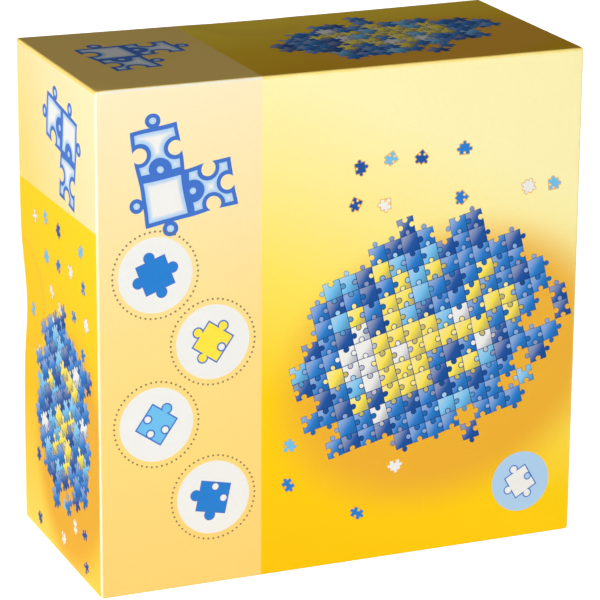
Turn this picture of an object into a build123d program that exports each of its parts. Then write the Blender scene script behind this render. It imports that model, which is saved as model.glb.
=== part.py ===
"""A stackable set of eight jigsaw-shaped sorting trays in its printed lift-off-lid carton.

Millimetres. The carton is modelled lying on its back, base below and lid on top, and is then
stood on its lower narrow side, as it is displayed: +Z is up, the lid's face looks towards -Y
and the origin is under the middle of the side that it stands on.
"""

from build123d import *
from math import radians, tan
import os

# Carton: greyboard blanks folded into a base and a lid, each wrapped in printed paper
carton_width = 270.0
board = 2.0
paper = 0.3
tape = 0.15
fold_radius = 1.1
turn_in = 16.0
seam = 0.3
tape_leg = 12.0
tape_setback = 4.0
lid_clearance = 0.5
rim_gap = 0.3
notch_radius = 31.5
notch_depth = 38.0
notch_drop = 3.6
notch_shift = 7.7

# Trays: moulded plastic, each dropping into the one below and turned half round from it
tray_count = 8
tray_height = 22.0
nest_depth = 8.6
tray_wall = 1.6
tray_floor = 1.6
draft = 3.0
nest_clearance = 0.35
stack_gap = 0.05
tray_clearance = 0.6
head_room = 5.95
body_radius = 13.0

# Tab and sockets of a tray's outline
tab_depth = 33.0
tab_width = 71.0
socket_depth = 34.0
socket_width = 67.0
tip_radius = 20.0
root_radius = 12.0
radius_margin = 0.5

# Open pour side of a tray: the side walls turn the corner and slope down to the floor
pour_return_foot = 27.0
pour_return_rim = 15.0
relief_clearance = 1.0

# Sizes that follow
skin = paper + board + paper
base_side = carton_width - 2 * (skin + lid_clearance)
tray_span = base_side - 2 * (skin + tray_clearance)
body_width = tray_span
body_length = tray_span - 2 * tab_depth
pitch = tray_height - nest_depth + stack_gap
stack_height = (tray_count - 1) * pitch + tray_height
stack_foot = paper + board + rim_gap
base_depth = stack_foot + stack_height + head_room - rim_gap
carton_depth = base_depth + rim_gap + board + paper
lid_depth = carton_depth - rim_gap
seat = tray_wall + nest_clearance
lean = tan(radians(draft))


def block(width, length, low, high):
    """A box centred on the Z axis, from height low to height high."""
    return Pos(0, 0, (low + high) / 2) * Box(width, length, high - low)


def folded_block(side, low, high, radius):
    """A filled block whose four upright edges and lower edges have the radius of a fold."""
    solid = block(side, side, low, high)
    kept = solid.edges().filter_by(Axis.Z) + solid.edges().group_by(Axis.Z)[0]
    return fillet(kept, radius)


def finger_notches(depth):
    """Cutters for the thumb notch in each board wall's free edge, which the wrap bridges."""
    centre = depth + notch_radius - notch_depth
    throat = Pos(0, notch_depth / 2) * Rectangle(2 * notch_radius, notch_depth)
    profile = Circle(notch_radius) + throat
    through_sides = extrude(Plane.YZ * Pos(notch_drop, centre) * profile, carton_width, both=True)
    through_ends = extrude(Plane.XZ * Pos(-notch_shift, centre) * profile, carton_width, both=True)
    return through_sides + through_ends


def corner_squares(outer, size, low, high):
    """Square columns over the four upright edges of a block whose side is outer."""
    middle = outer / 2 - size / 2 + board
    spots = [Pos(x, y, (low + high) / 2) for x in (-middle, middle) for y in (-middle, middle)]
    return [spot * Box(size, size, high - low) for spot in spots]


def case_half(side, depth, notched):
    """Board, wrap and corner tapes of one half of the carton, open upwards."""
    board_side = side - 2 * paper
    inner = board_side - 2 * board
    blank = folded_block(board_side, paper, depth - paper, fold_radius - paper)
    hollow = block(inner, inner, paper + board, depth + board)
    shell = blank - hollow
    for end in (-1, 1):
        for flank in (-1, 1):
            slot = Pos(end * (inner - seam) / 2, flank * (inner + board) / 2, 0)
            shell -= slot * block(seam, board + seam, paper + board, depth)

    taped = folded_block(board_side + 2 * tape, paper - tape, depth, fold_radius - paper + tape)
    strips = taped - blank
    columns = corner_squares(board_side, tape_leg + board, paper + tape_setback, depth - paper)
    tapes = [strips & column for column in columns]

    mouth = block(inner - 2 * paper, inner - 2 * paper, depth - turn_in, depth + board)
    lining = block(inner, inner, depth - turn_in, depth - paper) - mouth
    wrap = folded_block(side, 0, depth, fold_radius) - blank - mouth + lining
    for piece in tapes:
        wrap -= piece

    if notched:
        shell -= finger_notches(depth)
    return shell, wrap, Compound(children=[solid for piece in tapes for solid in piece.solids()])


def tray_outline():
    """Plan of a tray at its rim: a body with a tab on +Y and a socket in each side."""
    half_width, half_length = body_width / 2, body_length / 2
    tab, socket = tab_width / 2, socket_width / 2
    tab_root = min(root_radius, tab_depth / 2 - radius_margin)
    tab_tip = min(tip_radius, tab - radius_margin, tab_depth - tab_root - radius_margin)
    mouth = min(root_radius, socket_depth / 2 - radius_margin)
    pocket = min(tip_radius, socket - radius_margin, socket_depth - mouth - radius_margin)
    bottom = half_width - socket_depth
    right = [
        (half_width, -half_length, body_radius),
        (half_width, -socket, mouth),
        (bottom, -socket, pocket),
        (bottom, socket, pocket),
        (half_width, socket, mouth),
        (half_width, half_length, body_radius),
        (tab, half_length, tab_root),
        (tab, half_length + tab_depth, tab_tip),
    ]
    points = right + [(-x, y, radius) for x, y, radius in reversed(right)]
    edge = FilletPolyline(
        *[(x, y) for x, y, _ in points], radius=[radius for _, _, radius in points], close=True
    )
    return make_face(edge)


def drafted(outline, inset, high, low):
    """The outline drawn in by inset at height high, leaning further in down to height low."""
    face = offset(outline, -inset) if inset else outline
    return extrude(Pos(0, 0, high) * face, high - low, dir=(0, 0, -1), taper=draft)


def tray():
    """One tray standing on its floor, tab towards +Y and pour side towards -Y."""
    outline = tray_outline()
    ledge = nest_depth + tray_wall
    half_width, half_length = body_width / 2, body_length / 2
    whole = drafted(outline, 0, tray_height, 0)
    upper = whole - block(carton_width, 2 * carton_width, -board, nest_depth)
    lower = drafted(outline, seat, nest_depth, 0)

    band_width = body_width - 2 * (pour_return_foot + relief_clearance)
    band_start = half_length - seat - tray_wall / 2
    band_end = half_length + tab_depth + board
    band_middle = (band_start + band_end) / 2
    tab_band = Pos(0, band_middle, 0) * block(band_width, band_end - band_start, 0, nest_depth)

    mouth = drafted(outline, tray_wall, tray_height, ledge)
    well = drafted(outline, seat + tray_wall, ledge, tray_floor)
    body = upper + lower + (whole & tab_band) - mouth - well
    return body - pour_cut(half_width, half_length)


def pour_cut(half_width, half_length):
    """Cutter that opens the pour side between the two sloping wall ends."""
    foot = half_width - pour_return_foot
    rim = half_width - pour_return_rim
    above = tray_height + tray_floor
    profile = Polyline(
        (-foot, tray_floor), (foot, tray_floor), (rim, tray_height), (rim, above),
        (-rim, above), (-rim, tray_height), close=True,
    )
    depth = seat + 2 * tray_wall + lean * tray_height
    start = Plane.XZ.offset(half_length - depth)
    return extrude(start * make_face(profile), depth + board)


def stand(shape):
    """Turns the lying carton up onto its lower narrow side, lid's face towards -Y."""
    return Pos(0, carton_depth / 2, carton_width / 2) * Rot(90, 0, 0) * shape


def write(name, shape):
    """One STEP file for one piece."""
    shape.label = name
    export_step(shape, f"parts/{name}.step")


os.makedirs("parts", exist_ok=True)

base_board, base_wrap, base_tapes = case_half(base_side, base_depth, notched=False)
write("base_board", stand(base_board))
write("base_wrap", stand(base_wrap))
write("base_corner_tapes", stand(base_tapes))

lid_pose = Pos(0, 0, carton_depth) * Rot(180, 0, 0)
lid_board, lid_wrap, lid_tapes = case_half(carton_width, lid_depth, notched=True)
write("lid_board", stand(lid_pose * lid_board))
write("lid_wrap", stand(lid_pose * lid_wrap))
write("lid_corner_tapes", stand(lid_pose * lid_tapes))

one_tray = tray()
for number in range(1, tray_count + 1):
    level = tray_count - number
    turn = 180 if number % 2 else 0
    seated = Pos(0, 0, stack_foot + level * pitch) * Rot(0, 0, turn) * one_tray
    write(f"tray_{number}", stand(seated))

print("carton", carton_width, "x", carton_width, "x", round(carton_depth, 2))
print("tray", round(body_width, 2), "x", round(body_length + tab_depth, 2), "pitch", pitch)
print("stack", round(stack_height, 2), "base", round(base_side, 2), "x", round(base_depth, 2))
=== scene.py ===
"""Looks of a printed carton that holds eight jigsaw-shaped sorting trays.

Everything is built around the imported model, in metres in its own frame: +Z is up and the lid's
printed face looks towards -Y. The print is made of node materials that work in millimetres
across and up each face of the carton, and in cells inside a jigsaw.
"""

import math
from collections import namedtuple

import bmesh
import bpy
from mathutils import Matrix, Vector


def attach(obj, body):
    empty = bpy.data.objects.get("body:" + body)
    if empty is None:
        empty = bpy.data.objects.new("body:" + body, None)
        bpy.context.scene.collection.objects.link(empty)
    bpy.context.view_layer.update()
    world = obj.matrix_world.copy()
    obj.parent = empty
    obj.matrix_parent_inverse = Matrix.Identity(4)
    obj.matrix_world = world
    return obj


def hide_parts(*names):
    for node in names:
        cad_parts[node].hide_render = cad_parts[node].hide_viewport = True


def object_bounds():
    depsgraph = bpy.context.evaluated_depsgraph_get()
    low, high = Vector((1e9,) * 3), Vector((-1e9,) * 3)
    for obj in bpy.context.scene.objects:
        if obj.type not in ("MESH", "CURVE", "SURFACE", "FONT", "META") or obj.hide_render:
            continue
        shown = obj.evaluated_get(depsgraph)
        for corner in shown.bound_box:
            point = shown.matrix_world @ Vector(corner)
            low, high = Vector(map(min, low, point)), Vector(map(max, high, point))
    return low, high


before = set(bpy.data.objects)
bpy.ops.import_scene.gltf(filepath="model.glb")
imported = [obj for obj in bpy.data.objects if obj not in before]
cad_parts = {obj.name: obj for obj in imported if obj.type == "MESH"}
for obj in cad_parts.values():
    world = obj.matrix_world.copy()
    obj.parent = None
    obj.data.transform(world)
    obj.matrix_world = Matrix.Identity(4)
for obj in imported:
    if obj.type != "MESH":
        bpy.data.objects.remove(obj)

MM = 0.001
PER_METRE = 1000.0

cad_low, cad_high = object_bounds()
side_mm = (cad_high.x - cad_low.x) * PER_METRE
depth_mm = (cad_high.y - cad_low.y) * PER_METRE

# Camera, fitted to the carton's seven visible corners: degrees, millimetres of lens, metres
CAMERA_AZIMUTH = -22.543
CAMERA_ELEVATION = 17.576
CAMERA_ROLL = 0.379
CAMERA_LENS = 189.39
CAMERA_SENSOR = 36.0
CAMERA_DISTANCE = 1.6279
CAMERA_TARGET = Vector((-0.0249, -0.0635, 0.1499))
CAMERA_CLIP_END = 50.0

# Two-tone ground of the print, in millimetres; the left band's foot rises by its slope
COLUMN_WIDTH = 88.8
LEFT_BAND_FOOT = 195.2
LEFT_BAND_RISE = 0.0095
LAP_STRIP = 1.8

# Thumb notches of the lid's board, which the wrap bridges, in millimetres
NOTCH_RADIUS = 31.5
NOTCH_INSET = 6.5
NOTCH_HEIGHT = 131.4
NOTCH_ACROSS = -7.7
LEFT_NOTCH_SAG = 0.3
TOP_NOTCH_SAG = 0.2
NOTCH_SLOPE = 15.0

# The half-moon over a notch: strength of its painted shade inside the bend and of the painted
# highlight line along its edge, and where each fades, in millimetres out from the edge
NOTCH_SHADE = 0.16
NOTCH_SHADE_INSIDE = (-16.0, -0.5)
NOTCH_SHADE_OUTSIDE = (0.3, -0.5)
NOTCH_HIGHLIGHT = 0.05
NOTCH_HIGHLIGHT_EDGE = (0.9, 0.1)

# How the free edges of the walls give, in millimetres
TOP_GIVE = 0.85
SIDE_GIVE = 0.85
SIDE_GIVE_HEIGHT = 110.0
SIDE_GIVE_SPREAD = 48.0
SIDE_DENT = 1.7
SIDE_DENT_HEIGHT = 125.0
SIDE_DENT_SPREAD = 24.0
GIVE_REACH = 33.0
LID_ROOM = 0.4

# How the corners of the lid's face are crushed, most at the upper left, in millimetres
WORST_CRUSH = 0.9
CRUSH = 0.25
CRUSH_REACH = 7.0

# Thickness of the lid's walls, and how deep a print reaches round the folds, in millimetres;
# a face of the wrap belongs to a print if its normal leans that way by at least PRINT_LEAN
LID_SKIN = 2.6
SKIN_MARGIN = 0.01
PRINT_SKIN = 1.6
PRINT_LEAN = 0.4

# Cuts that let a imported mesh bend, in millimetres
GRID_STEP = 9.0
FINE_STEP = 3.0
REAR_MARGIN = 1.0
CORNER_STEPS = (1.5, 3.5, 6.0)

# Edges: millimetres within which corners are one, the trays' bevel, and sharp angles in degrees
WELD = 0.001
SHARP_ANGLE = 35.0
TRAY_BEVEL = 0.3
TRAY_BEVEL_ANGLE = 40.0

# Jigsaw cuts, in cells, and the share of a single piece's sides that are hollow
KNOB_OFFSET = 0.13
KNOB_RADIUS = 0.155
PIECE_GAP = 0.022
CUT_WAVE = 0.07
CUT_WAVE_SCALE = 0.9
SOCKET_SHARE = 0.42

# A heap of pieces: millimetres from piece to piece, and its reach, its blue rim and its ragged
# edge in its own radii
HEAP_PITCH = 9.5
HEAP_REACH = 1.12
HEAP_RIM = 0.82
HEAP_RAGGED = 0.34

# How a piece in a heap pales to the upper left and darkens to the lower right, in cells
LIGHT_STRENGTH = 0.3
LIGHT_LEAN = (-0.25, 0.75)
DARK_STRENGTH = 0.45
DARK_LEAN = (0.1, -0.8)

# The shade that a heap casts: millimetres right and up, then its size and edge in radii
SHADE_SHIFT = (15.0, -18.0)
SHADE_GROWTH = 1.25
SHADE_START = 1.14
SHADE_FULL = 0.76
SHADE_STRENGTH = 0.95

# Loose pieces: millimetres across a square and a piece, the share of squares that stay empty,
# and the outline in pieces
LOOSE_SPACING = 19.0
LOOSE_SIZE = 5.5
LOOSE_MISSING = 0.45
LOOSE_OUTLINE = 0.07

# Where loose pieces lie: between two rings round the front's heap, in its radii, and clear of
# the edges of their ground and of the disc, in millimetres
LOOSE_NEAR = 1.16
LOOSE_FAR = 1.7
LOOSE_MARGIN = 9.0
DISC_MARGIN = 6.0
LEFT_LOOSE_MARGIN = 8.0
LEFT_LOOSE_TOP = LEFT_BAND_FOOT - 10.0

# An outlined block of pieces, in cells, and the share of its pieces that are missing
BLOCK_COLUMNS = 3
BLOCK_ROWS = 2
BLOCK_MISSING = 0.2
BLOCK_OUTLINE = 0.085
BLOCK_PALE_REACH = 0.3

# Discs with one piece each: the soft edge in millimetres, the piece in the disc's radii, and
# the piece's outline and edge in pieces
DISC_EDGE = 0.25
DISC_PIECE = 0.78
DISC_PIECE_OUTLINE = (0.05, 0.035)
DISC_PIECE_EDGE = (0.0, -0.015)

# Dotted rings round the discs, in millimetres
RING_RADIUS = 23.0
RING_DOTS = 52
DOT_RADIUS = 0.55
DOT_EDGE = 0.15

# Print rubbed pale along a fold, with a painted highlight on the rounded fold: its edge in
# millimetres, its least strength, how fine its patches are, and how far below the top the
# front's fold lies
RUB_AND_HIGHLIGHT_EDGE = (1.5, 0.4)
RUB_AND_HIGHLIGHT_LEAST = 0.1
RUB_AND_HIGHLIGHT_SCALE = 90.0
TOP_FOLD = 0.6

# Inks, linear
DEEP_BLUE = (0.012, 0.09, 0.36)
MID_BLUE = (0.02, 0.21, 0.62)
SKY_BLUE = (0.16, 0.52, 0.84)
PALE_BLUE = (0.42, 0.62, 0.84)
WHITE = (0.84, 0.835, 0.805)
LEMON = (0.95, 0.76, 0.06)
# The next two yellows paint highlights along the lid's folds
PALE_HIGHLIGHT_YELLOW = (0.97, 0.8, 0.27)
FOLD_HIGHLIGHT_YELLOW = (0.97, 0.7, 0.08)
ORANGE = (0.84, 0.42, 0.03)
OUTLINE_BLUE = (0.055, 0.17, 0.58)
DOT_BROWN = (0.2, 0.15, 0.07)
INK_SHADE = (0.005, 0.045, 0.2)
HEAP_INKS = [
    (0.0, LEMON), (0.27, MID_BLUE), (0.45, SKY_BLUE),
    (0.64, WHITE), (0.78, LEMON), (0.9, DEEP_BLUE),
]
RIM_INKS = [(0.0, MID_BLUE), (0.45, DEEP_BLUE), (0.7, MID_BLUE), (0.88, SKY_BLUE)]
LOOSE_INKS = [(0.0, MID_BLUE), (0.3, SKY_BLUE), (0.55, WHITE), (0.75, DEEP_BLUE)]

# Grounds of the print, from the foot up, or from front to rear on the top wall, whose ground also
# holds painted shade. A lean is what the whole width of a face adds to the place on the ramp, and
# a start is taken off that place.
FIELD_LEAN, FIELD_START = 0.45, 0.17
LEFT_BAND_LEAN, LEFT_BAND_START = 0.5, 0.4
LEFT_LEAN = 0.1
# The top wall's lean is negative: its ground darkens towards the right, painted shade of the
# light's fall-off
TOP_SHADE_LEAN, TOP_START = -0.45, -0.15
COLUMN_GROUND = [
    (0.0, (0.97, 0.62, 0.175)), (0.25, (0.97, 0.68, 0.205)), (0.5, (0.96, 0.71, 0.25)),
    (1.0, (0.95, 0.81, 0.52)),
]
FIELD_GROUND = [
    (0.0, (0.97, 0.54, 0.001)), (0.35, (0.97, 0.62, 0.003)), (0.6, (0.97, 0.76, 0.11)),
    (0.8, (0.97, 0.82, 0.28)), (1.0, (0.97, 0.88, 0.45)),
]
LEFT_BAND_GROUND = [
    (0.4, (0.97, 0.72, 0.2)), (0.75, (0.97, 0.78, 0.4)), (1.0, (0.97, 0.82, 0.46)),
]
LEFT_GROUND = [(0.0, (0.97, 0.7, 0.12)), (0.3, (0.95, 0.56, 0.01)), (0.8, (0.97, 0.66, 0.002))]
# The top wall's ground, deeper towards the front and darkened towards the right as painted shade
TOP_GROUND_AND_SHADE = [
    (0.0, (0.78, 0.42, 0.002)), (0.4, (0.86, 0.53, 0.008)), (0.85, (0.97, 0.69, 0.045)),
]
TOP_COLUMN = (0.93, 0.64, 0.17)
LAP_YELLOW = (0.97, 0.7, 0.16)
LID_PLAIN = [(0.0, (0.96, 0.6, 0.02)), (1.0, (0.96, 0.74, 0.1))]
BASE_PLAIN = [(0.0, (0.93, 0.56, 0.015)), (1.0, (0.95, 0.6, 0.02))]

# Colours of the raw board, the tape and the trays, along a noise
BOARD_FLECKS = [(0.3, (0.3, 0.25, 0.19)), (0.55, (0.46, 0.39, 0.3)), (0.8, (0.6, 0.53, 0.43))]
KRAFT_FIBRES = [(0.3, (0.5, 0.36, 0.2)), (0.7, (0.74, 0.6, 0.4))]
TRAY_BLUES = [(0.2, (0.003, 0.185, 0.58)), (0.8, (0.005, 0.225, 0.67))]

# Pictures of the print: places and sizes in millimetres, turns in degrees
Heap = namedtuple("Heap", "centre radii turn seed")
Block = namedtuple("Block", "centre pitch turn seed")
Disc = namedtuple("Disc", "centre radius fill ink turn seed")

FRONT_HEAP = Heap((180.0, 122.0), (78.0, 60.0), 14.0, 21.0)
LEFT_HEAP = Heap((66.0, 82.0), (46.0, 54.0), -18.0, 33.0)
TOP_HEAP = Heap((186.0, 64.0), (62.0, 40.0), 8.0, 43.0)
FRONT_BLOCK = Block((47.0, 226.0), 25.0, 9.0, 4.0)
LEFT_BLOCK = Block((72.0, 226.0), 24.0, -8.0, 14.0)
TOP_BLOCK = Block((48.0, 66.0), 26.0, 6.0, 24.0)
COLUMN_DISCS = [
    Disc((31.0, 172.0), 20.0, WHITE, MID_BLUE, 20.0, 11.0),
    Disc((62.0, 133.0), 20.0, WHITE, LEMON, -35.0, 23.0),
    Disc((31.0, 92.0), 20.0, WHITE, SKY_BLUE, 55.0, 31.0),
    Disc((62.0, 48.0), 20.0, WHITE, MID_BLUE, -12.0, 47.0),
]
FIELD_DISC = Disc((240.0, 32.0), 17.0, PALE_BLUE, WHITE, 30.0, 61.0)

# How fine fibres and grain vary a surface, by slope and start, and their share in its relief
PAPER_TINT = (0.12, 0.94)
PAPER_ROUGHNESS = (0.12, 0.46)
PAPER_FIBRES = 0.08
TRAY_ROUGHNESS = (0.14, 0.34)

# Lamps of the studio: name, place, width and height in metres, and power in watts
LAMPS = [
    ("key", (-3.2, -2.74, 0.58), 3.1, 1.6, 251.0),
    ("front_fill", (1.5, -3.0, 0.3), 1.6, 1.0, 10.0),
    ("right_fill", (2.9, 0.4, 0.14), 1.6, 0.26, 62.0),
    ("rear_fill", (0.1, 2.9, 0.14), 1.6, 0.26, 52.0),
    ("top_fill", (0.0, 0.0, 2.9), 1.6, 1.6, 4.8),
]
LAMPS_AIM = Vector((0.0, 0.0, 0.14))
AMBIENT = 0.09
BACKDROP = 1.0
FLOOR_GREY = (0.8, 0.8, 0.8, 1.0)
FLOOR_GLOW = 0.9
FLOOR_SIZE = 6.0


class Field:
    """A number that varies over a surface. Its arithmetic adds math nodes to the tree."""

    def __init__(self, tree, socket):
        self.tree = tree
        self.socket = socket

    def math(self, operation, *others):
        node = self.tree.nodes.new("ShaderNodeMath")
        node.operation = operation
        self.tree.links.new(self.socket, node.inputs[0])
        for slot, other in enumerate(others, 1):
            plug(self.tree, other, node.inputs[slot])
        return Field(self.tree, node.outputs[0])

    def __add__(self, other):
        return self.math("ADD", other)

    def __sub__(self, other):
        return self.math("SUBTRACT", other)

    def __mul__(self, other):
        return self.math("MULTIPLY", other)

    def __truediv__(self, other):
        return self.math("DIVIDE", other)

    def least(self, other):
        return self.math("MINIMUM", other)

    def most(self, other):
        return self.math("MAXIMUM", other)

    def size(self):
        return self.math("ABSOLUTE")

    def floor(self):
        return self.math("FLOOR")

    def round(self):
        return self.math("ROUND")

    def squared(self):
        return self * self

    def above(self, limit):
        return self.math("GREATER_THAN", limit)

    def below(self, limit):
        return self.math("LESS_THAN", limit)

    def line(self, slope, start):
        """start where this is 0, rising by slope for each 1 that this rises."""
        return self.math("MULTIPLY_ADD", slope, start)

    def as_sign(self):
        """-1 where this is 0, and 1 where it is 1."""
        return self.line(2.0, -1.0)

    def ease(self, start, end):
        """0 before start and 1 after end, turning smoothly between them."""
        node = self.tree.nodes.new("ShaderNodeMapRange")
        node.interpolation_type = "SMOOTHSTEP"
        plug(self.tree, self, node.inputs["Value"])
        node.inputs["From Min"].default_value = start
        node.inputs["From Max"].default_value = end
        return Field(self.tree, node.outputs["Result"])


def plug(tree, value, socket):
    """Links a field to a socket, or sets a plain number on it."""
    if isinstance(value, Field):
        tree.links.new(value.socket, socket)
    else:
        socket.default_value = value


def both(a, b):
    """1 where both fields are 1, and 0 elsewhere."""
    return a * b


def length(a, b):
    """How far the point (a, b) lies from the origin."""
    return (a.squared() + b.squared()).math("SQRT")


def combined(tree, x, y, z=0.0):
    """A vector socket made of three fields or numbers."""
    node = tree.nodes.new("ShaderNodeCombineXYZ")
    for value, socket in zip((x, y, z), node.inputs):
        plug(tree, value, socket)
    return node.outputs[0]


def chance(x, y, seed):
    """A random number from 0 to 1 for each whole x and y."""
    node = x.tree.nodes.new("ShaderNodeTexWhiteNoise")
    node.noise_dimensions = "3D"
    x.tree.links.new(combined(x.tree, x, y, seed), node.inputs["Vector"])
    return Field(x.tree, node.outputs["Value"])


def ramp(field, stops, steps=False):
    """A colour that follows a field: stops are (place, colour), from 0 to 1."""
    node = field.tree.nodes.new("ShaderNodeValToRGB")
    node.color_ramp.interpolation = "CONSTANT" if steps else "LINEAR"
    elements = node.color_ramp.elements
    while len(elements) < len(stops):
        elements.new(1.0)
    for element, (place, colour) in zip(elements, stops):
        element.position = place
        element.color = (*colour, 1.0)
    field.tree.links.new(field.socket, node.inputs["Fac"])
    return node.outputs["Color"]


def paint(tree, under, cover, over):
    """The colour over, laid on the colour under where the field cover is 1."""
    node = tree.nodes.new("ShaderNodeMix")
    node.data_type = "RGBA"
    plug(tree, cover, node.inputs["Factor"])
    for colour, name in ((under, "A"), (over, "B")):
        socket = next(s for s in node.inputs if s.name == name and s.type == "RGBA")
        if isinstance(colour, tuple):
            socket.default_value = (*colour, 1.0)
        else:
            tree.links.new(colour, socket)
    return next(s for s in node.outputs if s.type == "RGBA")


def face_plane(tree, across, up):
    """Millimetres across and up a face of the carton.

    Each of the two is given as the axis it follows, 1 or -1, and its place at that axis's zero.
    """
    place = tree.nodes.new("ShaderNodeTexCoord")
    parts = tree.nodes.new("ShaderNodeSeparateXYZ")
    tree.links.new(place.outputs["Object"], parts.inputs[0])
    fields = []
    for axis, sign, start in (across, up):
        metres = Field(tree, parts.outputs["XYZ".index(axis)])
        fields.append(metres.line(sign * PER_METRE, start))
    return fields


def turned(u, v, centre, degrees):
    """The same coordinates about a centre, with the picture turned by an angle."""
    c, s = math.cos(math.radians(degrees)), math.sin(math.radians(degrees))
    x, y = u - centre[0], v - centre[1]
    return x * c + y * s, y * c - x * s


def jigsaw_cut(along, across, seed):
    """Which piece a point belongs to along one axis, and how far it is from that axis's cuts."""
    edge = along.round()
    row = across.floor()
    side = chance(edge, row, seed).above(0.5).as_sign()
    away = (along - edge) * side
    knob = length(away - KNOB_OFFSET, across - row - 0.5) - KNOB_RADIUS
    reach = away.least(knob)
    return edge - (reach * side).below(0.0), reach.size()


def wavy(x, y):
    """The same coordinates, pushed about by a slow noise so that no cut is dead straight."""
    tree = x.tree
    node = tree.nodes.new("ShaderNodeTexNoise")
    node.inputs["Scale"].default_value = CUT_WAVE_SCALE
    node.inputs["Detail"].default_value = 1.0
    tree.links.new(combined(tree, x, y), node.inputs["Vector"])
    parts = tree.nodes.new("ShaderNodeSeparateColor")
    tree.links.new(node.outputs["Color"], parts.inputs[0])
    push = [Field(tree, parts.outputs[i]).line(2 * CUT_WAVE, -CUT_WAVE) for i in (0, 1)]
    return x + push[0], y + push[1]


def jigsaw(u, v, picture, pitch):
    """Interlocking pieces that fill a face, laid out for a heap or a block.

    Gives the column and row of a point's piece, the point's distance from the nearest cut, and
    how far up and to the left it lies on its piece, all in cells.
    """
    x, y = turned(u, v, picture.centre, picture.turn)
    x, y = wavy(x / pitch, y / pitch)
    column, to_side = jigsaw_cut(x, y, picture.seed)
    row, to_end = jigsaw_cut(y, x, picture.seed + 0.5)
    return column, row, to_side.least(to_end), (y - row) - (x - column)


def heap_shade(colour, u, v, heap):
    """The soft orange shade that a heap casts, to the lower right of it."""
    centre = (heap.centre[0] + SHADE_SHIFT[0], heap.centre[1] + SHADE_SHIFT[1])
    x, y = turned(u, v, centre, heap.turn)
    wide, high = heap.radii[0] * SHADE_GROWTH, heap.radii[1] * SHADE_GROWTH
    shade = length(x / wide, y / high).ease(SHADE_START, SHADE_FULL)
    return paint(u.tree, colour, shade * SHADE_STRENGTH, ORANGE)


def heap_pieces(colour, u, v, heap):
    """A part-built jigsaw: blue round its rim, mixed colours inside, with gaps near the rim."""
    tree = u.tree
    column, row, reach, lean = jigsaw(u, v, heap, HEAP_PITCH)
    wide, high = heap.radii[0] / HEAP_PITCH, heap.radii[1] / HEAP_PITCH
    spread = length((column + 0.5) / wide, (row + 0.5) / high)
    ragged = spread + chance(column, row, heap.seed + 3.0) * HEAP_RAGGED
    pick = chance(column, row, heap.seed + 7.0)
    mixed = ramp(pick, HEAP_INKS, steps=True)
    rim = ramp(pick, RIM_INKS, steps=True)
    piece = paint(tree, mixed, ragged.above(HEAP_RIM), rim)
    piece = paint(tree, piece, lean.ease(*LIGHT_LEAN) * LIGHT_STRENGTH, WHITE)
    piece = paint(tree, piece, lean.ease(*DARK_LEAN) * DARK_STRENGTH, INK_SHADE)
    piece = paint(tree, piece, reach.below(PIECE_GAP), INK_SHADE)
    return paint(tree, colour, ragged.below(HEAP_REACH), piece)


def outlined_block(colour, u, v, block):
    """A few white pieces with a thick blue outline, joined in a stepped block."""
    tree = u.tree
    column, row, reach, _ = jigsaw(u, v, block, block.pitch)
    in_columns = (column + 0.5).size().below(BLOCK_COLUMNS / 2)
    in_rows = (row + 0.5).size().below(BLOCK_ROWS / 2)
    there = chance(column, row, block.seed + 3.0).above(BLOCK_MISSING)
    piece = ramp(reach.ease(BLOCK_OUTLINE, BLOCK_PALE_REACH), [(0.0, PALE_BLUE), (0.5, WHITE)])
    piece = paint(tree, piece, reach.below(BLOCK_OUTLINE), OUTLINE_BLUE)
    return paint(tree, colour, both(both(in_columns, in_rows), there), piece)


def single_piece(x, y, seed_x, seed_y):
    """Distance, in cells, to the edge of one jigsaw piece about the origin, under 0 inside."""
    reaches = []
    for along, across, seed in ((x, y, 1.0), (y, x, 2.0)):
        end = along.math("SIGN")
        side = chance(seed_x + end, seed_y, seed).above(SOCKET_SHARE).as_sign()
        away = (along.size() - 0.5) * side
        knob = length(away - KNOB_OFFSET, across) - KNOB_RADIUS
        reaches.append(away.least(knob) * side)
    return reaches[0].most(reaches[1])


def loose_pieces(colour, u, v, allowed, seed):
    """Single pieces strewn at random, one to a square, where their middles are allowed."""
    tree = u.tree
    column, row = (u / LOOSE_SPACING).floor(), (v / LOOSE_SPACING).floor()
    room = LOOSE_SPACING - 2 * LOOSE_SIZE
    middle_u = (column + 0.5) * LOOSE_SPACING + (chance(column, row, seed) - 0.5) * room
    middle_v = (row + 0.5) * LOOSE_SPACING + (chance(column, row, seed + 1.0) - 0.5) * room
    angle = chance(column, row, seed + 2.0) * (2 * math.pi)
    c, s = angle.math("COSINE"), angle.math("SINE")
    x, y = u - middle_u, v - middle_v
    x, y = (x * c + y * s) / LOOSE_SIZE, (y * c - x * s) / LOOSE_SIZE
    reach = single_piece(x, y, column * 3.0, row)
    there = chance(column, row, seed + 4.0).above(LOOSE_MISSING)
    shown = both(there, allowed(middle_u, middle_v))
    inks = ramp(chance(column, row, seed + 5.0), LOOSE_INKS, steps=True)
    colour = paint(tree, colour, both(shown, reach.below(LOOSE_OUTLINE)), ORANGE)
    return paint(tree, colour, both(shown, reach.below(0.0)), inks)


def dotted_ring(colour, u, v, centre):
    """Small dots, evenly spread on a circle."""
    x, y = u - centre[0], v - centre[1]
    turn = y.math("ARCTAN2", x) * (RING_DOTS / (2 * math.pi))
    along = (turn - turn.round()) * (2 * math.pi * RING_RADIUS / RING_DOTS)
    away = length(along, length(x, y) - RING_RADIUS)
    return paint(u.tree, colour, away.ease(DOT_RADIUS + DOT_EDGE, DOT_RADIUS - DOT_EDGE), DOT_BROWN)


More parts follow.
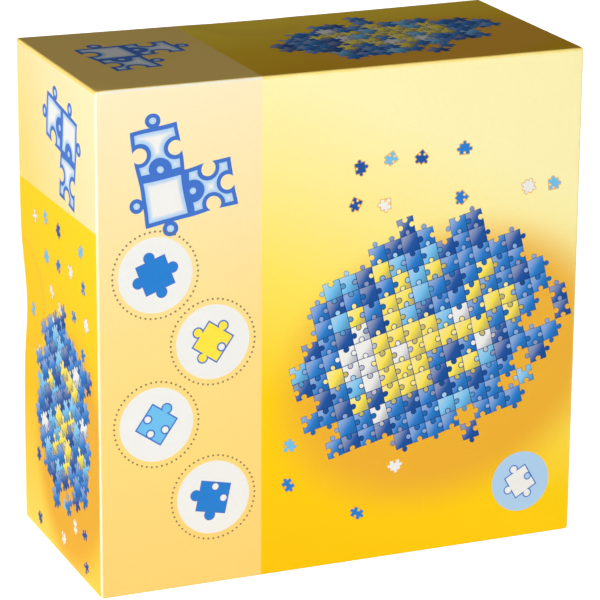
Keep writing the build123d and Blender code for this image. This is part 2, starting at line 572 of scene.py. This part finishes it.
def motif_disc(colour, u, v, disc):
    """A disc that holds one jigsaw piece with an outline."""
    away = length(u - disc.centre[0], v - disc.centre[1])
    inside = away.ease(disc.radius + DISC_EDGE, disc.radius - DISC_EDGE)
    colour = paint(u.tree, colour, inside, disc.fill)
    x, y = turned(u, v, disc.centre, disc.turn)
    size = disc.radius * DISC_PIECE
    reach = single_piece(x / size, y / size, x * 0.0 + disc.seed, 0.0)
    colour = paint(u.tree, colour, reach.ease(*DISC_PIECE_OUTLINE), OUTLINE_BLUE)
    return paint(u.tree, colour, reach.ease(*DISC_PIECE_EDGE), disc.ink)


def new_material(name):
    """A node material with a bare shader: the material, its tree and the shader."""
    material = bpy.data.materials.new(name)
    material.use_nodes = True
    tree = material.node_tree
    tree.nodes.clear()
    output = tree.nodes.new("ShaderNodeOutputMaterial")
    shader = tree.nodes.new("ShaderNodeBsdfPrincipled")
    tree.links.new(shader.outputs[0], output.inputs["Surface"])
    return material, tree, shader


def noise_field(tree, scale, detail, roughness=0.5):
    """A smooth random number from 0 to 1 that is fixed to the piece."""
    place = tree.nodes.new("ShaderNodeTexCoord")
    node = tree.nodes.new("ShaderNodeTexNoise")
    node.inputs["Scale"].default_value = scale
    node.inputs["Detail"].default_value = detail
    node.inputs["Roughness"].default_value = roughness
    tree.links.new(place.outputs["Object"], node.inputs["Vector"])
    return Field(tree, node.outputs["Fac"])


def bump(tree, shader, height, distance, strength=1.0):
    """Fine relief of a surface: distance is in metres for a height of 1."""
    node = tree.nodes.new("ShaderNodeBump")
    node.inputs["Strength"].default_value = strength
    node.inputs["Distance"].default_value = distance
    tree.links.new(height.socket, node.inputs["Height"])
    tree.links.new(node.outputs[0], shader.inputs["Normal"])


def varnished(tree, shader, colour):
    """Printed wrap paper under a satin varnish: fine fibres and the board's slow waviness."""
    fibres = noise_field(tree, scale=1300.0, detail=4.0, roughness=0.7)
    board = noise_field(tree, scale=22.0, detail=2.0)
    grain = fibres.line(*PAPER_TINT)
    tinted = tree.nodes.new("ShaderNodeVectorMath")
    tinted.operation = "MULTIPLY"
    tree.links.new(colour, tinted.inputs[0])
    tree.links.new(combined(tree, grain, grain, grain), tinted.inputs[1])
    tree.links.new(tinted.outputs[0], shader.inputs["Base Color"])
    rough = fibres.line(*PAPER_ROUGHNESS)
    tree.links.new(rough.socket, shader.inputs["Roughness"])
    shader.inputs["Specular IOR Level"].default_value = 0.13
    bump(tree, shader, fibres * PAPER_FIBRES + board, distance=0.25 * MM, strength=0.6)


def notch_shade_and_highlight(colour, along, beyond):
    """The faint half-moon of painted shade and highlight where the wrap bends over a notch in the
    board.
    """
    away = length(along, beyond.most(0.0)) - NOTCH_RADIUS
    shade = both(away.ease(*NOTCH_SHADE_INSIDE), away.ease(*NOTCH_SHADE_OUTSIDE))
    # Painted shade inside the bend of the wrap
    colour = paint(along.tree, colour, shade * NOTCH_SHADE, ORANGE)
    # A painted highlight line along the bend
    return paint(along.tree, colour, away.size().ease(*NOTCH_HIGHLIGHT_EDGE) * NOTCH_HIGHLIGHT, WHITE)


def rubbed_and_highlit_fold(colour, away, ink, seed):
    """Print rubbed pale, and a painted highlight, along a fold, unevenly, by the distance from it.
    """
    tree = away.tree
    rubbed_and_lit = noise_field(tree, RUB_AND_HIGHLIGHT_SCALE + seed, detail=2.0).line(1.0 - RUB_AND_HIGHLIGHT_LEAST, RUB_AND_HIGHLIGHT_LEAST)
    return paint(tree, colour, away.ease(*RUB_AND_HIGHLIGHT_EDGE) * rubbed_and_lit, ink)


def beside_front_heap(x, y):
    """1 on the yellow field about the heap on the face, clear of the disc."""
    (heap_x, heap_y), (disc_x, disc_y) = FRONT_HEAP.centre, FIELD_DISC.centre
    away = length((x - heap_x) / FRONT_HEAP.radii[0], (y - heap_y) / FRONT_HEAP.radii[1])
    in_field = both(x.above(COLUMN_WIDTH + LOOSE_MARGIN), x.below(side_mm - LOOSE_MARGIN))
    off_disc = length(x - disc_x, y - disc_y).above(FIELD_DISC.radius + DISC_MARGIN)
    return both(both(away.above(LOOSE_NEAR), away.below(LOOSE_FAR)), both(in_field, off_disc))


def front_print():
    """Lid's face: a pale column on the left, and a part-built jigsaw on the yellow field."""
    material, tree, shader = new_material("front_print")
    u, v = face_plane(tree, ("X", 1, side_mm / 2), ("Z", 1, 0.0))
    up = v / side_mm
    column = ramp(up, COLUMN_GROUND)
    field = ramp(up + u / side_mm * FIELD_LEAN - FIELD_START, FIELD_GROUND)
    from_top = v * -1.0 + (side_mm - TOP_FOLD)
    # Along the top fold: print rubbed pale and a painted highlight
    column = rubbed_and_highlit_fold(column, from_top, WHITE, seed=3.0)
    field = rubbed_and_highlit_fold(field, from_top, FOLD_HIGHLIGHT_YELLOW, seed=3.0)
    colour = paint(tree, field, u.below(COLUMN_WIDTH), column)

    colour = outlined_block(colour, u, v, FRONT_BLOCK)
    for disc in COLUMN_DISCS:
        colour = motif_disc(colour, u, v, disc)
        colour = dotted_ring(colour, u, v, disc.centre)

    colour = heap_shade(colour, u, v, FRONT_HEAP)
    colour = loose_pieces(colour, u, v, beside_front_heap, seed=9.0)
    colour = heap_pieces(colour, u, v, FRONT_HEAP)
    colour = motif_disc(colour, u, v, FIELD_DISC)
    # Along the side folds: print rubbed pale and a painted highlight
    colour = rubbed_and_highlit_fold(colour, u, WHITE, seed=1.0)
    colour = rubbed_and_highlit_fold(colour, u * -1.0 + side_mm, PALE_HIGHLIGHT_YELLOW, seed=4.0)
    varnished(tree, shader, colour)
    return material


def below_left_band(x, y):
    """1 on the yellow part of the left wall, clear of its edges."""
    margin = LEFT_LOOSE_MARGIN
    inside = both(x.above(margin), x.below(depth_mm - margin))
    return both(both(y.below(LEFT_LOOSE_TOP), y.above(margin)), inside)


def left_print():
    """Lid's left wall: a pale band at the top, and a jigsaw on yellow below."""
    material, tree, shader = new_material("left_print")
    u, v = face_plane(tree, ("Y", -1, depth_mm / 2), ("Z", 1, 0.0))
    up = v / side_mm
    band = ramp(up + u / depth_mm * LEFT_BAND_LEAN - LEFT_BAND_START, LEFT_BAND_GROUND)
    field = ramp(up + u / depth_mm * LEFT_LEAN, LEFT_GROUND)
    colour = paint(tree, field, (v - u * LEFT_BAND_RISE).above(LEFT_BAND_FOOT), band)
    colour = paint(tree, colour, v.above(side_mm - LAP_STRIP), LAP_YELLOW)
    colour = outlined_block(colour, u, v, LEFT_BLOCK)
    colour = heap_shade(colour, u, v, LEFT_HEAP)
    colour = loose_pieces(colour, u, v, below_left_band, seed=17.0)
    colour = heap_pieces(colour, u, v, LEFT_HEAP)
    # The notch's half-moon: painted shade and a painted highlight line
    colour = notch_shade_and_highlight(colour, v - NOTCH_HEIGHT, u - NOTCH_INSET)
    # Along the front fold: print rubbed pale and a painted highlight
    colour = rubbed_and_highlit_fold(colour, u * -1.0 + depth_mm, WHITE, seed=2.0)
    varnished(tree, shader, colour)
    return material


def top_print():
    """Lid's top wall: the front's two tones run on, with a block and a jigsaw on them."""
    material, tree, shader = new_material("top_print")
    u, v = face_plane(tree, ("X", 1, side_mm / 2), ("Y", 1, depth_mm / 2))
    # The ground darkens towards the right as painted shade
    field = ramp(v / depth_mm + u / side_mm * TOP_SHADE_LEAN - TOP_START, TOP_GROUND_AND_SHADE)
    colour = paint(tree, field, u.below(COLUMN_WIDTH), TOP_COLUMN)
    colour = outlined_block(colour, u, v, TOP_BLOCK)
    colour = heap_shade(colour, u, v, TOP_HEAP)
    colour = heap_pieces(colour, u, v, TOP_HEAP)
    from_rear = v * -1.0 + depth_mm
    # The notch's half-moon: painted shade and a painted highlight line
    colour = notch_shade_and_highlight(colour, u - (side_mm / 2 + NOTCH_ACROSS), from_rear - NOTCH_INSET)
    # Along the front fold: print rubbed pale and a painted highlight
    colour = rubbed_and_highlit_fold(colour, v, PALE_HIGHLIGHT_YELLOW, seed=5.0)
    varnished(tree, shader, colour)
    return material


def plain_print(name, ground):
    """Walls without a picture: the plain yellow that runs on round the carton."""
    material, tree, shader = new_material(name)
    place = tree.nodes.new("ShaderNodeTexCoord")
    parts = tree.nodes.new("ShaderNodeSeparateXYZ")
    tree.links.new(place.outputs["Object"], parts.inputs[0])
    up = Field(tree, parts.outputs[2]) / (side_mm * MM)
    varnished(tree, shader, ramp(up, ground))
    return material


def greyboard():
    """Raw recycled board, matt and flecked."""
    material, tree, shader = new_material("raw_greyboard")
    flecks = noise_field(tree, scale=900.0, detail=4.0, roughness=0.7)
    colour = ramp(flecks, BOARD_FLECKS)
    tree.links.new(colour, shader.inputs["Base Color"])
    shader.inputs["Roughness"].default_value = 0.9
    shader.inputs["Specular IOR Level"].default_value = 0.15
    bump(tree, shader, flecks, distance=0.12 * MM)
    return material


def kraft_tape():
    """Gummed kraft paper that holds the board's corners together."""
    material, tree, shader = new_material("kraft_tape")
    fibres = noise_field(tree, scale=1400.0, detail=4.0, roughness=0.65)
    colour = ramp(fibres, KRAFT_FIBRES)
    tree.links.new(colour, shader.inputs["Base Color"])
    shader.inputs["Roughness"].default_value = 0.75
    bump(tree, shader, fibres, distance=0.05 * MM)
    return material


def tray_plastic():
    """Moulded polystyrene with a fine satin grain."""
    material, tree, shader = new_material("blue_plastic")
    grain = noise_field(tree, scale=3200.0, detail=2.0, roughness=0.6)
    slow = noise_field(tree, scale=18.0, detail=2.0)
    colour = ramp(slow, TRAY_BLUES)
    tree.links.new(colour, shader.inputs["Base Color"])
    rough = grain.line(*TRAY_ROUGHNESS)
    tree.links.new(rough.socket, shader.inputs["Roughness"])
    shader.inputs["IOR"].default_value = 1.55
    bump(tree, shader, grain, distance=0.03 * MM, strength=0.5)
    return material


def spaced(low, high, step):
    """Places a step or less apart, between low and high and without the two ends."""
    count = max(1, round((high - low) / step))
    return [low + (high - low) * i / count for i in range(1, count)]


def grid_cuts(mesh, fine):
    """Cuts a mesh by planes across each axis; if fine, closer together about the notches."""
    close = {
        0: (NOTCH_ACROSS - NOTCH_RADIUS, NOTCH_ACROSS + NOTCH_RADIUS),
        1: (depth_mm / 2 - NOTCH_INSET - NOTCH_RADIUS, depth_mm / 2 - REAR_MARGIN),
        2: (NOTCH_HEIGHT - NOTCH_RADIUS, NOTCH_HEIGHT + NOTCH_RADIUS),
    }
    for axis in range(3):
        ends = (cad_low[axis] * PER_METRE, cad_high[axis] * PER_METRE)
        places = spaced(*ends, GRID_STEP)
        if fine:
            low, high = close[axis]
            places = [place for place in places if not low <= place <= high]
            places += [low, *spaced(low, high, FINE_STEP), high]
            places += [ends[0] + step for step in CORNER_STEPS]
            places += [ends[1] - step for step in CORNER_STEPS]
        for place in places:
            point = Vector((0, 0, 0))
            normal = Vector((0, 0, 0))
            point[axis] = place * MM
            normal[axis] = 1.0
            geometry = mesh.verts[:] + mesh.edges[:] + mesh.faces[:]
            bmesh.ops.bisect_plane(mesh, geom=geometry, plane_co=point, plane_no=normal)


def eased(value, start, end):
    """0 before start and 1 after end, turning smoothly between them."""
    share = min(1.0, max(0.0, (value - start) / (end - start)))
    return share * share * (3.0 - 2.0 * share)


def swell(value, middle, spread):
    """1 at the middle, falling smoothly to 0 on both sides of it."""
    return math.exp(-(((value - middle) / spread) ** 2))


def walls_given(place, share, room):
    """A place in millimetres, moved as the walls give inwards, by room less than the lid's do.

    The sides give most at mid-height, where the trays' sockets leave them space.
    """
    x, y, z = place
    half = side_mm / 2
    broad = SIDE_GIVE * swell(z, SIDE_GIVE_HEIGHT, SIDE_GIVE_SPREAD)
    dent = SIDE_DENT * swell(z, SIDE_DENT_HEIGHT, SIDE_DENT_SPREAD)
    sagged = TOP_GIVE * math.cos(math.pi * x / side_mm)
    side = eased(abs(x), half - GIVE_REACH, half) * max(0.0, broad + dent - room) * share
    top = eased(z, side_mm - GIVE_REACH, side_mm) * max(0.0, sagged - room) * share
    return x - math.copysign(side, x), y, z - top


def lid_given(place):
    """The lid's walls give at their free rear edges and not at the folds in front."""
    return walls_given(place, eased(place[1], -depth_mm / 2, depth_mm / 2), 0.0)


def base_given(place):
    """The base's walls give evenly from front to rear, so that the lid still slides off."""
    return walls_given(place, 1.0, LID_ROOM)


def over_notch(along, from_rear):
    """How fully the wrap can sink where it bridges a notch, from the middle of the notch."""
    beyond = max(0.0, from_rear - NOTCH_INSET)
    inside = NOTCH_RADIUS - math.hypot(along, beyond)
    return eased(inside, 0.0, NOTCH_SLOPE)


def wrap_sunk(place):
    """A place on the lid's wrap in millimetres, sunk where it lies over a notch."""
    x, y, z = place
    from_rear = depth_mm / 2 - y
    from_left, from_top = x + side_mm / 2, side_mm - z
    if from_left < LID_SKIN + SKIN_MARGIN:
        sag = LEFT_NOTCH_SAG * over_notch(z - NOTCH_HEIGHT, from_rear)
        x += sag * (1.0 - from_left / LID_SKIN)
    elif from_top < LID_SKIN + SKIN_MARGIN:
        sag = TOP_NOTCH_SAG * over_notch(x - NOTCH_ACROSS, from_rear)
        z -= sag * (1.0 - from_top / LID_SKIN)
    return x, y, z


def corner_crushed(place):
    """A place in millimetres, pushed in near a corner of the lid's face."""
    across = math.copysign(side_mm / 2, place[0])
    up = round(place[2] / side_mm) * side_mm
    corner = Vector((across, -depth_mm / 2, up))
    away = Vector(place) - corner
    share = max(0.0, 1.0 - away.length / CRUSH_REACH)
    inward = Vector((0.0, 0.0, side_mm / 2)) - corner
    crush = WORST_CRUSH if across < 0 < up else CRUSH
    return tuple(Vector(place) + inward.normalized() * crush * share * share)


def dressed(node, name, materials, choose, body, wear):
    """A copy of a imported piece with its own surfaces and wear, which stands for it."""
    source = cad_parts[node]
    mesh = bmesh.new()
    mesh.from_mesh(source.data)
    bmesh.ops.remove_doubles(mesh, verts=mesh.verts, dist=WELD * MM)
    grid_cuts(mesh, fine=body == "lid")
    mesh.normal_update()
    for face in mesh.faces:
        face.material_index = choose(face)
        face.smooth = True
    for vertex in mesh.verts:
        place = tuple(vertex.co * PER_METRE)
        for moved in wear:
            place = moved(place)
        vertex.co = Vector(place) * MM
    data = bpy.data.meshes.new(name)
    mesh.to_mesh(data)
    mesh.free()
    if "custom_normal" in data.attributes:
        data.attributes.remove(data.attributes["custom_normal"])
    for material in materials:
        data.materials.append(material)
    data.set_sharp_from_angle(angle=math.radians(SHARP_ANGLE))
    piece = bpy.data.objects.new(name, data)
    bpy.context.scene.collection.objects.link(piece)
    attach(piece, body)
    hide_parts(node)
    return piece


def printed_side(face):
    """Which print a face of the lid's wrap shows: 0 front, 1 left, 2 top, 3 the plain rest."""
    centre, normal = face.calc_center_median(), face.normal
    skin = PRINT_SKIN * MM
    outside = {
        0: (centre.y < cad_low.y + skin, -normal.y),
        1: (centre.x < cad_low.x + skin, -normal.x),
        2: (centre.z > cad_high.z - skin, normal.z),
    }
    facing = [
        (lean, index) for index, (near, lean) in outside.items() if near and lean > PRINT_LEAN
    ]
    return max(facing)[1] if facing else 3


def lamp(name, place, width, height, power):
    """A soft rectangular lamp that looks at the middle of the carton."""
    data = bpy.data.lights.new(name, "AREA")
    data.shape = "RECTANGLE"
    data.size, data.size_y = width, height
    data.energy = power
    light = bpy.data.objects.new(name, data)
    light.location = place
    light.rotation_mode = "QUATERNION"
    light.rotation_quaternion = (Vector(place) - LAMPS_AIM).to_track_quat("Z", "Y")
    bpy.context.scene.collection.objects.link(light)


def studio():
    """A large soft key lamp low on the camera's left, weak fills, and a dim even sky."""
    for name, place, width, height, power in LAMPS:
        lamp(name, place, width, height, power)

    world = bpy.data.worlds.new("studio")
    world.use_nodes = True
    bpy.context.scene.world = world
    tree = world.node_tree
    tree.nodes.clear()
    output = tree.nodes.new("ShaderNodeOutputWorld")
    ambient = tree.nodes.new("ShaderNodeBackground")
    ambient.inputs["Color"].default_value = (1, 1, 1, 1)
    ambient.inputs["Strength"].default_value = AMBIENT
    seen = tree.nodes.new("ShaderNodeBackground")
    seen.inputs["Color"].default_value = (1, 1, 1, 1)
    seen.inputs["Strength"].default_value = BACKDROP
    path = tree.nodes.new("ShaderNodeLightPath")
    mix = tree.nodes.new("ShaderNodeMixShader")
    tree.links.new(path.outputs["Is Camera Ray"], mix.inputs["Fac"])
    tree.links.new(ambient.outputs[0], mix.inputs[1])
    tree.links.new(seen.outputs[0], mix.inputs[2])
    tree.links.new(mix.outputs[0], output.inputs["Surface"])


def floor():
    """A pale floor that shows near white and keeps a soft shadow."""
    material, tree, shader = new_material("pale_floor")
    shader.inputs["Base Color"].default_value = FLOOR_GREY
    shader.inputs["Roughness"].default_value = 0.9
    shader.inputs["Specular IOR Level"].default_value = 0.1
    shader.inputs["Emission Color"].default_value = (1, 1, 1, 1)
    path = tree.nodes.new("ShaderNodeLightPath")
    glow = Field(tree, path.outputs["Is Camera Ray"]) * FLOOR_GLOW
    tree.links.new(glow.socket, shader.inputs["Emission Strength"])
    mesh = bmesh.new()
    bmesh.ops.create_grid(mesh, x_segments=1, y_segments=1, size=FLOOR_SIZE)
    data = bpy.data.meshes.new("floor")
    mesh.to_mesh(data)
    mesh.free()
    data.materials.append(material)
    plane = bpy.data.objects.new("floor", data)
    bpy.context.scene.collection.objects.link(plane)


def camera():
    """The photograph's viewing angle, with its slight roll."""
    azimuth, elevation = math.radians(CAMERA_AZIMUTH), math.radians(CAMERA_ELEVATION)
    back = Vector(
        (
            math.sin(azimuth) * math.cos(elevation),
            -math.cos(azimuth) * math.cos(elevation),
            math.sin(elevation),
        )
    )
    right = Vector((0, 0, 1)).cross(back).normalized()
    up = back.cross(right)
    roll = math.radians(CAMERA_ROLL)
    tilted_right = right * math.cos(roll) + up * math.sin(roll)
    tilted_up = up * math.cos(roll) - right * math.sin(roll)
    data = bpy.data.cameras.new("camera")
    data.sensor_width = CAMERA_SENSOR
    data.lens = CAMERA_LENS
    data.clip_end = CAMERA_CLIP_END
    view = bpy.data.objects.new("camera", data)
    bpy.context.scene.collection.objects.link(view)
    place = Matrix.Translation(CAMERA_TARGET + back * CAMERA_DISTANCE)
    view.matrix_world = place @ Matrix((tilted_right, tilted_up, back)).transposed().to_4x4()
    bpy.context.scene.camera = view


def dress_trays():
    """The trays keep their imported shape, with a small bevel on their moulded edges."""
    plastic = tray_plastic()
    for name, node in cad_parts.items():
        if name.startswith("tray_"):
            node.data.materials.clear()
            node.data.materials.append(plastic)
            edge = node.modifiers.new("moulded_edges", "BEVEL")
            edge.width = TRAY_BEVEL * MM
            edge.segments = 2
            edge.limit_method = "ANGLE"
            edge.angle_limit = math.radians(TRAY_BEVEL_ANGLE)


def dress_carton():
    """The lid and the base: printed wraps, raw board and stay tape."""
    plain = plain_print("lid_plain", LID_PLAIN)
    prints = [front_print(), left_print(), top_print(), plain]
    wear = (wrap_sunk, corner_crushed, lid_given)
    dressed("lid_wrap", "lid_printed_wrap", prints, printed_side, "lid", wear)
    base = plain_print("base_plain", BASE_PLAIN)
    raw, tape = greyboard(), kraft_tape()
    for name, shown, material, body, slot, wear in (
        ("lid_board", "lid_greyboard", raw, "lid", "greyboard", (corner_crushed, lid_given)),
        ("lid_corner_tapes", "lid_tapes", tape, "lid", "stay_tape", (corner_crushed, lid_given)),
        ("base_wrap", "base_printed_wrap", base, "base", "base_print", (base_given,)),
        ("base_board", "base_greyboard", raw, "base", "greyboard", (base_given,)),
        ("base_corner_tapes", "base_tapes", tape, "base", "stay_tape", (base_given,)),
    ):
        dressed(name, shown, [material], lambda face: 0, body, wear)


bpy.context.scene.view_settings.view_transform = "Standard"
dress_trays()
dress_carton()
studio()
floor()
camera()
